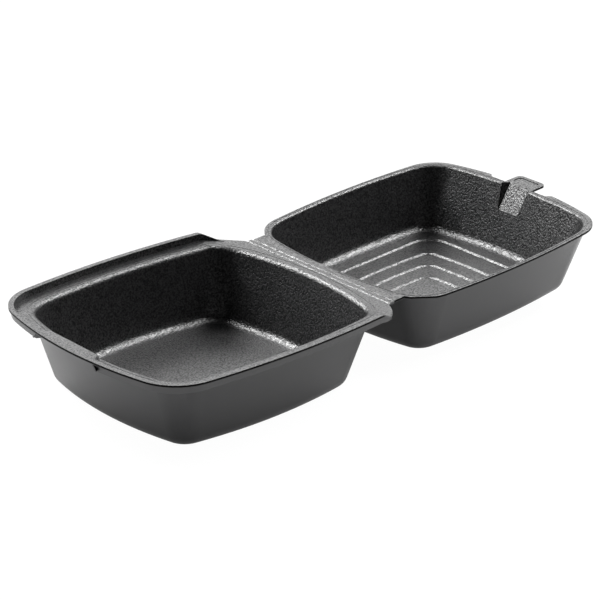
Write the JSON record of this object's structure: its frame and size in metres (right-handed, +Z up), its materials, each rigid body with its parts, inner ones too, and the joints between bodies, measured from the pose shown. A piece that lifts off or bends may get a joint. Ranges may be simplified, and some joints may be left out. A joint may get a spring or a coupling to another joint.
{
  "type": "foam clamshell container",
  "caption": "Hinged foam takeaway box shown open: a deep base tray with a stepped rim and a ridged lid tray with a pull tab.",
  "frame": {"origin": "middle of the open box in X and Y, at the height of the foot that the base stands on", "axes": "+X from the front of the base over the hinge to the lid's pull tab, +Y along the hinge, +Z up"},
  "size_m": [0.3266, 0.15, 0.0462],
  "materials": {
    "base": "fine grained black foam",
    "hinge_strip": "fine grained black foam",
    "lid": "fine grained black foam"
  },
  "bodies": {
    "base": {"base": "base"},
    "hinge_strip": {"hinge_strip": "hinge_strip"},
    "lid": {"lid": "lid"}
  },
  "joints": [
    {"name": "base_crease", "type": "hinge", "parent": "base", "child": "hinge_strip", "pos_m": [-0.00081, 0, 0.0374], "axis": [0, -1, 0], "range_deg": [-1.4, 87.7]},
    {"name": "lid_crease", "type": "hinge", "parent": "hinge_strip", "child": "lid", "pos_m": [0.00259, 0, 0.03749], "axis": [0, -1, 0], "range_deg": [-1.4, 87.7]}
  ]
}
